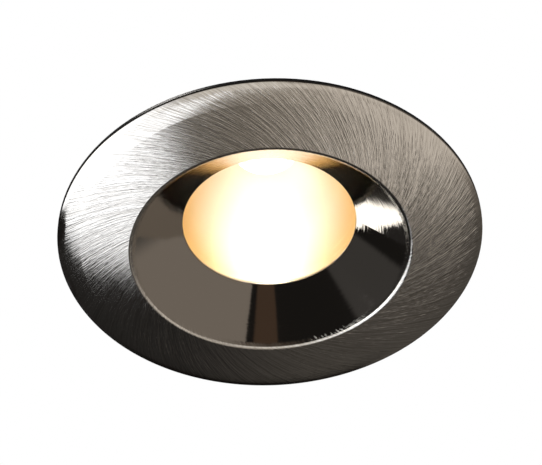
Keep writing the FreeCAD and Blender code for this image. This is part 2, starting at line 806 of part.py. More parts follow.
def clip_foot():
    """Soft boot pushed over the arm's tip."""
    low = -blade_under - foot_wall
    high = -arm_drop + foot_wall
    half = arm_tip_half_width + foot_wall + 0.35
    boot = block(foot_start, arm_length + foot_wall, -half, half, low, high)
    sides = [e for e in boot.Edges if e.BoundBox.ZLength > 0.5 * (high - low)]
    boot = boot.makeFillet(1.6, [e for e in sides if e.BoundBox.XMin > foot_start + 0.1])
    boot = boot.makeFillet(0.3, [e for e in boot.Edges if e.BoundBox.ZLength < 1e-6
                                 and e.BoundBox.XLength > 3.0])
    return at_pivot(boot.cut(arm_blade()), arm_rest_angle)


def biarc(start, start_heading, end, end_heading):
    """Two tangent arcs between two points, leaving and arriving along the two headings."""
    across = end - start
    both = start_heading + end_heading
    bend = 2 * start_heading.dot(end_heading) - 2
    along = across.dot(both)
    reach = (along - math.sqrt(along * along - bend * across.dot(across))) / bend
    corners = (start + start_heading * reach, end - end_heading * reach)
    middle = (corners[0] + corners[1]) * 0.5
    arcs = []
    for first, corner, last in ((start, corners[0], middle), (middle, corners[1], end)):
        centre = (first + last) * 0.5
        rise = corner - centre
        half_chord = (last - first).Length / 2
        sagitta = half_chord * math.tan(math.atan2(rise.Length, half_chord) / 2)
        arcs.append(Part.Arc(first, centre + rise.normalize() * sagitta, last).toShape())
    return arcs


def clip_spring():
    """Torsion spring round the pivot: one leg up the bracket's plate, the other along the blade."""
    end_angle = 270.0 + arm_rest_angle
    sweep = 360.0 * spring_turns + (end_angle - 180.0)
    length = spring_pitch * sweep / 360.0
    steps = 4 * spring_turns + 1
    places = []
    headings = []
    for n in range(steps + 1):
        angle = math.radians(180.0 + sweep * n / steps)
        places.append(Vector(spring_mean_radius * math.cos(angle), length * (n / steps - 0.5),
                             spring_mean_radius * math.sin(angle)))
        climb = 0.0 if n in (0, steps) else spring_pitch / (2 * math.pi * spring_mean_radius)
        headings.append(Vector(-math.sin(angle), climb, math.cos(angle)).normalize())
    edges = [Part.makeLine(places[0] - headings[0] * spring_fixed_leg, places[0])]
    for n in range(steps):
        edges += biarc(places[n], headings[n], places[n + 1], headings[n + 1])
    edges.append(Part.makeLine(places[-1], places[-1] + headings[-1] * spring_arm_leg))
    path = Part.Wire(edges)
    profile = Part.Wire(Part.makeCircle(spring_wire / 2, path.Edges[0].firstVertex().Point, headings[0]))
    print("spring: least gap between turns", round(least_gap(edges[1:-1], spring_wire), 3), "mm")
    return path.makePipeShell([profile], True, False).translated(Vector(pivot_x, 0, pivot_z))


def least_gap(edges, wire):
    """Smallest clear gap between stretches of a wire that are over half a turn apart."""
    points = [p for e in edges for p in e.discretize(9)[:-1]]
    apart = 9 * len(edges) // (2 * spring_turns + 1) // 2
    gaps = [(points[a] - points[b]).Length for a in range(len(points)) for b in range(a + apart, len(points))]
    return min(gaps) - wire


def clip_screws():
    """One screw through each bracket into the casting."""
    grip = plate_face_x - clip_hole_end() - 0.1
    right = screw(M3_BUTTON, (plate_face_x, 0, clip_screw_z), Vector(-1, 0, 0), grip)
    return Part.makeCompound([right, mirrored(right)])


# ---------------------------------------------------------------- driver box

def box_outline(inset, bottom, top):
    """Block with the box's outline, moved in all round."""
    return rounded_block(-box_half_width + inset, box_half_width - inset, box_back + inset, box_front - inset,
                         bottom, top, box_corner - inset)


def driver_box():
    """Moulded box: floor, walls, gland boss, lid posts, board posts and the slots for the lid's tongues."""
    body = box_outline(0, z_box, z_box_rim).cut(box_outline(box_wall, z_floor, z_box_rim + 1))
    extra = [rod(gland_thread_radius + gland_boss_wall, (0, box_front - gland_boss_depth, z_gland), OUT,
                 gland_boss_depth - 0.5)]
    for side in (-1, 1):
        lid_post = (side * lid_post_x, lid_post_y, z_floor - 1)
        board_post = (side * circuit_screw_x, circuit_screw_y, z_floor - 1)
        extra.append(rod(lid_post_radius, lid_post, UP, box_inner_height + 1))
        extra.append(rod(circuit_post_radius, board_post, UP, circuit_standoff + 1))
    body = joined([body] + extra)
    body = body.cut(rod(gland_thread_radius + thread_gap, (0, box_front - gland_boss_depth - 1, z_gland), OUT,
                        gland_boss_depth + 2))
    for x, y in box_screw_places():
        body = body.cut(rod(M3[0] + clear_gap, (x, y, z_box - 1), UP, box_floor + 2))
    body = body.cut(rod(lead_hole_radius, (lead_hole_x, lead_hole_y, z_box - 1), UP, box_floor + 2))
    for side in (-1, 1):
        lid_hole = (side * lid_post_x, lid_post_y, z_box_rim - lid_screw_grip - 0.5)
        board_hole = (side * circuit_screw_x, circuit_screw_y, z_circuit - circuit_screw_grip - 0.5)
        body = body.cut(rod(M3[0] + thread_gap, lid_hole, UP, lid_screw_grip + 1.5))
        body = body.cut(rod(M25[0] + thread_gap, board_hole, UP, circuit_screw_grip + 1.5))
        half = tongue_width / 2 + clear_gap
        body = body.cut(block(side * tongue_x - half, side * tongue_x + half, tongue_y - tongue_toe - clear_gap,
                              tongue_y, z_box_rim - tongue_drop - clear_gap,
                              z_box_rim - tongue_drop + tongue_sheet + loose))
    return body


def box_screws():
    """Four screws from inside the box into the casting's pillars."""
    return Part.makeCompound([screw(M3, (x, y, z_floor), DOWN, box_floor + box_screw_grip)
                              for x, y in box_screw_places()])


def lid_seal():
    """Rubber ring that lies on the box's rim."""
    inset = (box_wall - lid_seal_width) / 2
    outer = box_outline(inset, z_box_rim, z_lid)
    return outer.cut(box_outline(inset + lid_seal_width, z_box_rim - 1, z_lid + 1))


def box_lid():
    """Flat lid with a softened edge, a sunk panel and two tongues that hook into the back wall."""
    plate = box_outline(0, z_lid, z_lid_top)
    plate = plate.makeFillet(lid_crown, [e for e in plate.Edges if e.BoundBox.ZMin > z_lid_top - 1e-4])
    tongues = []
    for side in (-1, 1):
        low = side * tongue_x - tongue_width / 2
        high = low + tongue_width
        bottom = z_box_rim - tongue_drop
        tongues.append(block(low, high, tongue_y, tongue_y + tongue_sheet, bottom, z_lid + 0.5))
        tongues.append(block(low, high, tongue_y - tongue_toe, tongue_y + 0.5, bottom, bottom + tongue_sheet))
    lid = joined([plate] + tongues)
    panel = rounded_block(-lid_panel_half, lid_panel_half,
                          box_back + lid_panel_back, box_front - lid_panel_front,
                          z_lid_top - lid_panel_depth, z_lid_top + 1, lid_panel_corner)
    lid = lid.cut(panel)
    for side in (-1, 1):
        lid = lid.cut(rod(M3[0] + clear_gap, (side * lid_post_x, lid_post_y, z_lid - 1), UP,
                          lid_thickness + 2))
    return lid


def lid_screws():
    """Two screws through the lid into the box's posts."""
    return Part.makeCompound([screw(M3, (side * lid_post_x, lid_post_y, z_lid_top), DOWN,
                                    lid_thickness + lid_screw_grip) for side in (-1, 1)])


# ---------------------------------------------------------------- driver board

def driver_board():
    """Printed board with two fixing holes and the terminals' pin holes."""
    board = block(-circuit_half_width, circuit_half_width, circuit_back, circuit_front, z_circuit, z_parts)
    for side in (-1, 1):
        hole = (side * circuit_screw_x, circuit_screw_y, z_circuit - 1)
        board = board.cut(rod(M25[0] + clear_gap, hole, UP, circuit_thickness + 2))
    for x in terminal_rows():
        board = board.cut(rod(contact_radius + loose, (x, contact_y, z_circuit - 1), UP,
                              circuit_thickness + 2))
    return board


def driver_board_screws():
    """Two screws through the board into the box's posts."""
    return Part.makeCompound([screw(M25, (side * circuit_screw_x, circuit_screw_y, z_parts), DOWN,
                                    circuit_thickness + circuit_screw_grip)
                              for side in (-1, 1)])


def terminal_rows():
    """X of the three poles: live, neutral and earth."""
    return [terminal_pitch * n for n in (-1, 0, 1)]


def terminal_block():
    """Moulded three-pole block with wire entries facing the gland and a well for each button."""
    top = z_parts + terminal_height
    body = block(-terminal_half, terminal_half, terminal_front - terminal_depth, terminal_front, z_parts, top)
    well_floor = top - button_travel - button_sunk - clear_gap
    for x in terminal_rows():
        body = body.cut(block(x - button_wide / 2 - 0.15, x + button_wide / 2 + 0.15,
                              button_y - button_long / 2 - 0.15, button_y + button_long / 2 + 0.15,
                              well_floor, top + 1))
        entry = (x, terminal_front - wire_entry_depth, z_parts + wire_entry_rise)
        body = body.cut(rod(wire_entry_radius, entry, OUT, wire_entry_depth + 1))
        body = body.cut(turned([(0, 0), (wire_entry_radius, 0), (wire_entry_radius + 0.6, 0.7), (0, 0.7)]
                               ).rotated(Vector(0, 0, 0), SIDE, -90).translated(
                                   Vector(x, terminal_front - 0.6, z_parts + wire_entry_rise)))
        body = body.cut(rod(contact_radius + loose, (x, contact_y, z_parts - 1), UP, wire_entry_rise + 1))
    return body


def terminal_contacts():
    """Tinned pins, one to a pole, from the wire's hole down through the board."""
    length = contact_reach + circuit_thickness + contact_rise
    return Part.makeCompound([rod(contact_radius, (x, contact_y, z_circuit - contact_reach), UP, length)
                              for x in terminal_rows()])


def terminal_button(row):
    """Push button that opens one pole's spring."""
    x = terminal_rows()[row]
    top = z_parts + terminal_height
    button = block(x - button_wide / 2, x + button_wide / 2,
                   button_y - button_long / 2, button_y + button_long / 2, top - button_sunk, top + button_rise)
    slot = block(x - button_slot / 2, x + button_slot / 2,
                 button_y - 1.5 * button_slot, button_y + 1.5 * button_slot,
                 top + button_rise - button_slot_depth, top + button_rise + 1)
    return button.cut(slot)


def transformer_core():
    """Ferrite core with two windows."""
    left = core_x - core_length / 2
    core = block(left, left + core_length, core_y - core_depth / 2, core_y + core_depth / 2, z_parts,
                 z_parts + core_height)
    for x in (left + core_outer_leg, left + core_length - core_outer_leg - core_window):
        core = core.cut(block(x, x + core_window, core_y - core_depth, core_y + core_depth,
                              z_parts + core_yoke, z_parts + core_height - core_yoke))
    return core


def transformer_winding():
    """Taped winding round the core's middle leg."""
    outer = core_length / 2 - core_outer_leg - winding_gap
    leg = core_length / 2 - core_outer_leg - core_window + winding_gap
    low = z_parts + core_yoke + winding_gap
    high = z_parts + core_height - core_yoke - winding_gap
    coil = rounded_block(core_x - outer, core_x + outer, core_y - winding_reach, core_y + winding_reach,
                         low, high, winding_corner)
    return coil.cut(block(core_x - leg, core_x + leg, core_y - core_depth / 2 - winding_gap,
                          core_y + core_depth / 2 + winding_gap, low - 1, high + 1))


def bulk_capacitor():
    """Upright can with a crimped sleeve."""
    can = rod(bulk_radius, (bulk_x, bulk_y, z_parts), UP, bulk_height)
    can = can.makeFillet(2 * bulk_crimp, [e for e in can.Edges if isinstance(e.Curve, Part.Circle)])
    crimp_low = z_parts + 5 * bulk_crimp
    crimp = tube(bulk_radius - bulk_crimp, bulk_radius + 1, crimp_low, crimp_low + 2 * bulk_crimp)
    return can.cut(crimp.translated(Vector(bulk_x, bulk_y, 0)))


def film_capacitor():
    """Boxed suppression capacitor."""
    return rounded_block(film_x - film_length / 2, film_x + film_length / 2, film_y - film_depth / 2,
                         film_y + film_depth / 2, z_parts, z_parts + film_height, 0.12 * film_depth)


def input_choke():
    """Drum choke: wound waist between two flanges."""
    neck = choke_flange + choke_radius - choke_waist
    drum = turned([(0, 0), (choke_radius, 0), (choke_radius, choke_flange), (choke_waist, neck),
                   (choke_waist, choke_height - neck), (choke_radius, choke_height - choke_flange),
                   (choke_radius, choke_height), (0, choke_height)])
    return drum.translated(Vector(choke_x, choke_y, z_parts))


def input_fuse():
    """Round radial fuse."""
    body = rod(fuse_radius, (fuse_x, fuse_y, z_parts), UP, fuse_height)
    return body.makeFillet(0.2 * fuse_radius, [e for e in body.Edges if isinstance(e.Curve, Part.Circle)
                                               and e.Curve.Center.z > z_parts + 0.5 * fuse_height])


def bridge_rectifier():
    """Flat moulded rectifier."""
    return block(bridge_x - bridge_length / 2, bridge_x + bridge_length / 2, bridge_y - bridge_depth / 2,
                 bridge_y + bridge_depth / 2, z_parts, z_parts + bridge_height)


def surge_varistor():
    """Disc that stands on edge."""
    centre = (varistor_x - varistor_thickness / 2, varistor_y, z_parts + varistor_radius)
    disc = rod(varistor_radius, centre, SIDE, varistor_thickness)
    edges = [edge for edge in disc.Edges if isinstance(edge.Curve, Part.Circle)]
    return disc.makeFillet(0.3 * varistor_thickness, edges)


# ---------------------------------------------------------------- cable gland

def along_y(profile):
    """Turned piece about the gland's axis from (radius, y) points."""
    solid = turned(profile).rotated(Vector(0, 0, 0), SIDE, -90)
    return solid.translated(Vector(0, 0, z_gland))


def hexagon(flats, start, length):
    """Hexagonal bar about the gland's axis, flats up and down."""
    radius = flats / math.sqrt(3)
    corners = [math.radians(60 * n) for n in range(6)]
    points = [Vector(radius * math.cos(turn), start, z_gland + radius * math.sin(turn)) for turn in corners]
    return extruded(points, OUT * length)


def gland_body():
    """Threaded stub, hexagon and slotted claws."""
    stub_start = box_front - gland_boss_depth + 0.5
    thread_end = gland_hex_end + gland_thread_length
    core = along_y([(gland_bore, stub_start), (gland_thread_radius, stub_start),
                    (gland_thread_radius, thread_end),
                    (gland_claw_radius, thread_end), (gland_claw_radius, gland_claw_end),
                    (gland_seal_radius + loose, gland_claw_end),
                    (gland_seal_radius + loose, gland_seal_start - 0.2), (gland_bore, gland_seal_start - 0.2)])
    hex_ring = hexagon(gland_flats, gland_face, gland_hex_length)
    hex_ring = hex_ring.cut(rod(gland_thread_radius - 1, (0, gland_face - 1, z_gland), OUT,
                                gland_hex_length + 2))
    body = joined([core, hex_ring])
    for n in range(gland_slots):
        slot = block(-gland_slot_width / 2, gland_slot_width / 2, thread_end + 0.5, gland_claw_end + 1,
                     z_gland + gland_bore + 1.2,
                     z_gland + gland_claw_radius + 1)
        body = body.cut(slot.rotated(Vector(0, 0, z_gland), OUT, 360.0 / gland_slots * n))
    return body


def gland_washer_ring():
    """Flat seal between the gland's hexagon and the box."""
    return along_y([(gland_thread_radius + thread_gap, box_front), (gland_thread_radius + 1.4, box_front),
                    (gland_thread_radius + 1.4, gland_face), (gland_thread_radius + thread_gap, gland_face)])


def gland_seal():
    """Rubber insert that grips the cable."""
    end = gland_seal_start + gland_seal_length
    return along_y([(gland_seal_bore, gland_seal_start), (gland_seal_radius, gland_seal_start),
                    (gland_seal_radius, end), (gland_seal_bore, end)])


def gland_nut():
    """Domed compression nut with twelve grip flats."""
    start = gland_nut_start
    end = start + gland_nut_length
    shoulder = start + 0.62 * gland_nut_length
    inner = gland_thread_radius + thread_gap
    mouth_start = max(gland_claw_end, gland_seal_start + gland_seal_length) + 0.3
    dome = end - 0.2 * gland_nut_length
    body = along_y([(inner, start), (gland_nut_radius, start), (gland_nut_radius, shoulder),
                    (0.9 * gland_nut_radius, dome), (0.68 * gland_nut_radius, end), (gland_nut_mouth, end),
                    (gland_nut_mouth, mouth_start + 1.2), (inner, mouth_start)])
    for n in range(12):
        flat = block(-0.9, 0.9, start - 1, shoulder + 1, z_gland + gland_nut_radius - 0.45,
                     z_gland + gland_nut_radius + 1)
        body = body.cut(flat.rotated(Vector(0, 0, z_gland), OUT, 30.0 * n))
    return body


# ---------------------------------------------------------------- every piece, under its own name

pieces = {
    "trim_ring": trim_ring(),
    "soffit_gasket": soffit_gasket(),
    "lens_seal": lens_seal(),
    "lens_glass": lens_glass(),
    "lens_clamp_ring": lens_clamp_ring(),
    "body_o_ring": body_o_ring(),
    "reflector": reflector(),
    "trim_screws": trim_screws(),
    "led_phosphor": led_phosphor(),
    "led_board": led_board(),
    "thermal_pad": thermal_pad(),
    "led_holder": led_holder(),
    "led_holder_screws": led_holder_screws(),
    "led_lead_positive": led_lead(0),
    "led_lead_negative": led_lead(1),
    "lead_grommet": lead_grommet(),
    "heat_sink": heat_sink(),
    "clip_screws": clip_screws(),
    "driver_box": driver_box(),
    "box_screws": box_screws(),
    "lid_seal": lid_seal(),
    "box_lid": box_lid(),
    "lid_screws": lid_screws(),
    "driver_board": driver_board(),
    "driver_board_screws": driver_board_screws(),
    "terminal_block": terminal_block(),
    "terminal_contacts": terminal_contacts(),
    "terminal_button_live": terminal_button(0),
    "terminal_button_neutral": terminal_button(1),
    "terminal_button_earth": terminal_button(2),
    "transformer_core": transformer_core(),
    "transformer_winding": transformer_winding(),
    "bulk_capacitor": bulk_capacitor(),
    "film_capacitor": film_capacitor(),
    "input_choke": input_choke(),
    "input_fuse": input_fuse(),
    "bridge_rectifier": bridge_rectifier(),
    "surge_varistor": surge_varistor(),
    "gland_body": gland_body(),
    "gland_washer": gland_washer_ring(),
    "gland_seal": gland_seal(),
    "gland_nut": gland_nut(),
}

for name, make in (("clip_bracket", clip_bracket), ("clip_pin", clip_pin), ("clip_spring", clip_spring),
                   ("clip_arm", clip_arm), ("clip_foot", clip_foot)):
    right = make()
    pieces[name + "_right"] = right
    pieces[name + "_left"] = mirrored(right)

for name, solid in pieces.items():
    if not solid.isValid():
        raise ValueError(name + " is not a valid solid")
    solid.exportStep("parts/" + name + ".step")
    print(name, len(solid.Solids), "solid", round(solid.Volume, 1), "mm3")
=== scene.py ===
"""Soffit downlight seen from below and in front, lit, with its brushed flange and polished cone."""
import json
import math

import bpy
import numpy as np
from mathutils import Matrix, Vector


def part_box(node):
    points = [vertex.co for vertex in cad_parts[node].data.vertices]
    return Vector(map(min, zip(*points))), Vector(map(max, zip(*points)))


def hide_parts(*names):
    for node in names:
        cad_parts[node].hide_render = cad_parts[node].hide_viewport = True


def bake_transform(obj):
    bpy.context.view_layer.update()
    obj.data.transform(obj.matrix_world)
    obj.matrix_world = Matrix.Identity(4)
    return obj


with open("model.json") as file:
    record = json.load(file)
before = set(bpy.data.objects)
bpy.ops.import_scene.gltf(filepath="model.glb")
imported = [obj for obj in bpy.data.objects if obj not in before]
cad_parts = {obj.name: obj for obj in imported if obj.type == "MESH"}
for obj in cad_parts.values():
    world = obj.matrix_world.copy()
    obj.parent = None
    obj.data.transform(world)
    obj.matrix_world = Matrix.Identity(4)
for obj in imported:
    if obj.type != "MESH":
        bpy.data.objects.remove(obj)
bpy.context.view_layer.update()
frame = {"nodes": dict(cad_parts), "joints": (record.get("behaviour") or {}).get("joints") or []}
nodes = frame["nodes"]

# ------------------------------------------------------------------ front ring
# Turned brass plated with nickel, pulled up to the casting by four screws.  The flange is brushed in
# strokes at 45 degrees to its radius, the ridge catches the brush raggedly, and the cone keeps only
# the lathe's fine turning marks.

BRUSHED_FROM, BRUSHED_FULL = 26.4, 27.1      # radius in mm over which the strokes set in
RAGGED = 0.65                                # how much sooner or later, in mm, single strokes start
SMOOTH_FROM, SMOOTH_FULL = 39.2, 40.3        # radius over which they fade before the curled rim
EDGE_SHADE_FROM, EDGE_SHADE_FULL = 40.3, 40.7            # radius over which the rim turns dark, a painted shade along its outer edge
# each layer of strokes: pitch, strokes round the ring, breaks on the way out, shift, octaves
FINE, BROAD = (1.0, 190.0, 4.0, 0.0, 1.0), (0.92, 80.0, 2.5, 31.0, 1.0)
STEEP, FLAT = (1.25, 130.0, 6.0, 67.0, 0.0), (0.72, 120.0, 7.0, 93.0, 0.0)
BROAD_SHARE, STEEP_SHARE, FLAT_SHARE = 1.2, 0.5, 0.4
GROOVE_FLOOR, GROOVE_TOP = 1.1, 1.9          # sums of the layers that get the darkest and palest plating; the darkest is partly painted shade in the grooves
GROOVE_COLOUR_AND_SHADE, TOP_COLOUR, EDGE_SHADE_COLOUR = (0.57, 0.54, 0.50), (0.76, 0.73, 0.69), (0.2, 0.19, 0.18)
CONE_LIGHTNESS = 0.57                        # the cone's place between the first two colours
TURNED_ROUND, TURNED_ACROSS = 1.5, 3.4       # lathe marks: changes round the ring, and per mm outwards
TURNED_SHARE = 0.45                          # their height against that of the strokes
CONE_ROUGHNESS, FLANGE_ROUGHNESS = 0.06, 0.12
STROKE_DEPTH = 2.2e-5


def put(tree, kind, inputs=(), output=0, **settings):
    """Adds a node, sets its inputs by link or value, and returns one of its output sockets."""
    made = tree.nodes.new("ShaderNode" + kind)
    for key, value in settings.items():
        setattr(made, key, value)
    for key, value in (inputs.items() if isinstance(inputs, dict) else enumerate(inputs)):
        if isinstance(value, bpy.types.NodeSocket):
            tree.links.new(value, made.inputs[key])
        else:
            made.inputs[key].default_value = value
    return made.outputs[output]


def calc(tree, operation, *values):
    """One Math node."""
    return put(tree, "Math", values, operation=operation)


def ramp(tree, value, low, high, to_low=0.0, to_high=1.0):
    """Clamped smooth step from low..high to to_low..to_high."""
    return put(tree, "MapRange", (value, low, high, to_low, to_high), interpolation_type="SMOOTHSTEP")


def noise(tree, vector, scale, detail, roughness=0.5):
    """Soft noise between 0 and 1."""
    return put(tree, "TexNoise", {"Vector": vector, "Scale": scale, "Detail": detail, "Roughness": roughness})


def blend_colour(tree, factor, first, second):
    """Colour mix."""
    made = tree.nodes.new("ShaderNodeMix")
    made.data_type = "RGBA"
    # a Mix node has one set of inputs for each kind of data: 0, 6 and 7 are the colour's
    for socket, value in ((made.inputs[0], factor), (made.inputs[6], first), (made.inputs[7], second)):
        if isinstance(value, bpy.types.NodeSocket):
            tree.links.new(value, socket)
        else:
            socket.default_value = (*value, 1.0) if isinstance(value, tuple) else value
    return made.outputs[2]


def place(tree):
    """Object coordinates, in metres."""
    return put(tree, "TexCoord", output="Object")


def polar(tree):
    """Radius in millimetres, angle about Z in radians, height in millimetres."""
    split = tree.nodes.new("ShaderNodeSeparateXYZ")
    tree.links.new(place(tree), split.inputs[0])
    x, y, z = split.outputs
    squared = calc(tree, "ADD", calc(tree, "MULTIPLY", x, x), calc(tree, "MULTIPLY", y, y))
    return (calc(tree, "MULTIPLY", calc(tree, "SQRT", squared), 1000.0), calc(tree, "ARCTAN2", y, x),
            calc(tree, "MULTIPLY", z, 1000.0))


def material(name, **sockets):
    """Principled material: constants go on its sockets, and the tree comes back to be wired."""
    made = bpy.data.materials.new(name)
    made.use_nodes = True
    shader = made.node_tree.nodes["Principled BSDF"]
    for label, value in sockets.items():
        shader.inputs[label.replace("_", " ")].default_value = value
    return made, made.node_tree, shader


def wire(tree, shader, **links):
    """Links values to the shader's sockets."""
    for label, value in links.items():
        tree.links.new(value, shader.inputs[label.replace("_", " ")])


def bump(tree, height, depth):
    """Bump from a height whose full range is this many metres deep."""
    return put(tree, "Bump", {"Strength": 1.0, "Distance": depth, "Height": height})


def dress(made, *names):
    """Gives CAD nodes this material."""
    for name in names:
        mesh = nodes[name].data
        mesh.materials.clear()
        mesh.materials.append(made)


def around(tree, turn, size, along):
    """Point on a circle of this size, so that noise read there closes up after a full turn."""
    return put(tree, "CombineXYZ", (calc(tree, "MULTIPLY", calc(tree, "COSINE", turn), size),
                                    calc(tree, "MULTIPLY", calc(tree, "SINE", turn), size), along))


def strokes(tree, pitch, count, shortness, shift, octaves):
    """Noise stretched along the curves angle + pitch * ln(radius) = constant.  The count sets how many
    strokes go round, and the shortness how often each one breaks on its way out."""
    across = calc(tree, "MULTIPLY_ADD", log_radius, pitch, angle)
    along = calc(tree, "MULTIPLY_ADD", log_radius, shortness, shift)
    return noise(tree, around(tree, across, count, along), 1.0, octaves)


nickel, tree, shader = material("brushed_nickel", Metallic=1.0, Anisotropic=0.6, Anisotropic_Rotation=0.125)
radius, angle, _ = polar(tree)
log_radius = calc(tree, "LOGARITHM", radius, math.e)
fine, broad, steep, flat = (strokes(tree, *layer) for layer in (FINE, BROAD, STEEP, FLAT))
brushed = calc(tree, "MULTIPLY_ADD", broad, BROAD_SHARE, fine)
brushed = calc(tree, "MULTIPLY_ADD", steep, STEEP_SHARE, brushed)
brushed = calc(tree, "MULTIPLY_ADD", flat, FLAT_SHARE, brushed)
ragged = calc(tree, "MULTIPLY_ADD", calc(tree, "ADD", broad, fine), RAGGED, radius)
on_flange = ramp(tree, ragged, BRUSHED_FROM, BRUSHED_FULL)
inside_rim = ramp(tree, radius, SMOOTH_FROM, SMOOTH_FULL, 1.0, 0.0)
outwards = calc(tree, "MULTIPLY", radius, TURNED_ACROSS)
turned = noise(tree, around(tree, angle, TURNED_ROUND, outwards), 1.0, 1.0)
relief = calc(tree, "MULTIPLY", calc(tree, "MULTIPLY", brushed, on_flange), inside_rim)
relief = calc(tree, "MULTIPLY_ADD", turned, ramp(tree, on_flange, 0.0, 1.0, TURNED_SHARE, 0.0), relief)
# Darker plating where the strokes run deep: partly an uneven finish, partly painted shade in the grooves.
grooved = calc(tree, "SUBTRACT", ramp(tree, brushed, GROOVE_FLOOR, GROOVE_TOP), CONE_LIGHTNESS)
lightness = calc(tree, "MULTIPLY_ADD", grooved, on_flange, CONE_LIGHTNESS)
plating_and_groove_shade = blend_colour(tree, lightness, GROOVE_COLOUR_AND_SHADE, TOP_COLOUR)
# The base colour turns dark at the outer edge: painted shade along the rim.
wire(tree, shader,
     Base_Color=blend_colour(tree, ramp(tree, radius, EDGE_SHADE_FROM, EDGE_SHADE_FULL), plating_and_groove_shade, EDGE_SHADE_COLOUR),
     Roughness=ramp(tree, on_flange, 0.0, 1.0, CONE_ROUGHNESS, FLANGE_ROUGHNESS),
     Normal=bump(tree, relief, STROKE_DEPTH),
     Tangent=put(tree, "Tangent", direction_type="RADIAL", axis="Z"))
dress(nickel, "trim_ring")

# ------------------------------------------------------------------ glass, seals and clamp ring
# Clear toughened disc on a dark silicone seat, held by a screwed ring behind the reflector's brim.
# Foam and a round seal keep water out.  Shadow rays pass the glass, and shallow mirrored ones end in it,
# dimmed, as painted shade.  At a shallow angle the glass also turns amber, then black: a painted warm
# fringe and painted shade on what the cone mirrors of the lit reflector.

# "facing" runs from 0, straight on, to 1, along the glass
# The amber and black below are painted: a warm fringe, then shade, by the angle the glass is seen at.
PAINTED_WARM_FROM, PAINTED_WARM_FULL = 0.45, 0.52
PAINTED_SHADE_FROM, PAINTED_SHADE_FULL = 0.51, 0.64
ENDS_FROM, ENDS_FULL = 0.50, 0.60
CLEAR_TINT, PAINTED_WARM_TINT, PAINTED_SHADE_TINT = (0.97, 0.985, 0.98), (0.66, 0.33, 0.06), (0.012, 0.009, 0.006)
ENDED_RAYS, SHADOW_RAYS = (0.12, 0.135, 0.15, 1.0), (0.95, 0.965, 0.96, 1.0)

groups = {}


def group(name, inputs, output_kind):
    """Registers an empty node group with float or colour inputs and one output, and returns its ends."""
    made = bpy.data.node_groups.new(name, "ShaderNodeTree")
    for label in inputs:
        kind = "NodeSocketColor" if label.startswith("Colour") else "NodeSocketFloat"
        made.interface.new_socket(label, in_out="INPUT", socket_type=kind)
    made.interface.new_socket("Result", in_out="OUTPUT", socket_type=output_kind)
    groups[name] = made
    return made, made.nodes.new("NodeGroupInput").outputs, made.nodes.new("NodeGroupOutput").inputs[0]


def use(tree, name, *values):
    """Puts a shared group into a material and returns its output."""
    made = tree.nodes.new("ShaderNodeGroup")
    made.node_tree = groups[name]
    for socket, value in zip(made.inputs, values):
        if isinstance(value, bpy.types.NodeSocket):
            tree.links.new(value, socket)
        else:
            socket.default_value = (*value, 1.0) if isinstance(value, tuple) else value
    return made.outputs[0]


MOTTLE_FROM, MOTTLE_TO = 0.3, 0.7            # the noise that gives the two limits
TINT_FROM, TINT_TO = 0.36, 0.64              # and the two colours
SPECKLE_FINER, SPECKLE_SHARE = 9.0, 0.35
PEBBLES_FINER, PITS = 1.7, 0.6

# mottle: an irregular value between two limits, for roughness that isn't the same everywhere
inside, given, result = group("mottle", ("Scale", "Low", "High"), "NodeSocketFloat")
clouds = noise(inside, place(inside), given["Scale"], 5.0, 0.55)
inside.links.new(ramp(inside, clouds, MOTTLE_FROM, MOTTLE_TO, given["Low"], given["High"]), result)

# tint: two close colours in soft patches, with a finer speckle inside them
inside, given, result = group("tint", ("Scale", "Colour A", "Colour B"), "NodeSocketColor")
patches = noise(inside, place(inside), given["Scale"], 3.0, 0.6)
speckle = noise(inside, place(inside), calc(inside, "MULTIPLY", given["Scale"], SPECKLE_FINER), 2.0)
both = calc(inside, "ADD", calc(inside, "MULTIPLY", patches, 1.0 - SPECKLE_SHARE),
            calc(inside, "MULTIPLY", speckle, SPECKLE_SHARE))
chosen = ramp(inside, both, TINT_FROM, TINT_TO)
inside.links.new(blend_colour(inside, chosen, given["Colour A"], given["Colour B"]), result)

# grain: a pebbled height, as on a blasted casting or an eroded mould
inside, given, result = group("grain", ("Scale", "Pits"), "NodeSocketFloat")
cells = put(inside, "TexVoronoi", {"Vector": place(inside), "Scale": given["Scale"]}, feature="SMOOTH_F1")
pebbles = noise(inside, place(inside), calc(inside, "MULTIPLY", given["Scale"], PEBBLES_FINER), 3.0, 0.6)
inside.links.new(calc(inside, "MULTIPLY_ADD", cells, given["Pits"], pebbles), result)


def surface(name, first, second, patch, low, high, pebble, depth, **sockets):
    """Material with patches of two colours, a roughness that wanders from low to high, and a pebbled
    bump.  Patch and pebble are counts per metre, and the depth of the bump is in metres."""
    made, tree, shader = material(name, **sockets)
    wire(tree, shader, Base_Color=use(tree, "tint", patch, first, second),
         Roughness=use(tree, "mottle", patch, low, high),
         Normal=bump(tree, use(tree, "grain", pebble, PITS), depth))
    return made


glass, tree, shader = material("clear_glass", IOR=1.5, Transmission_Weight=1.0)
facing = put(tree, "LayerWeight", {"Blend": 0.5}, output="Facing")
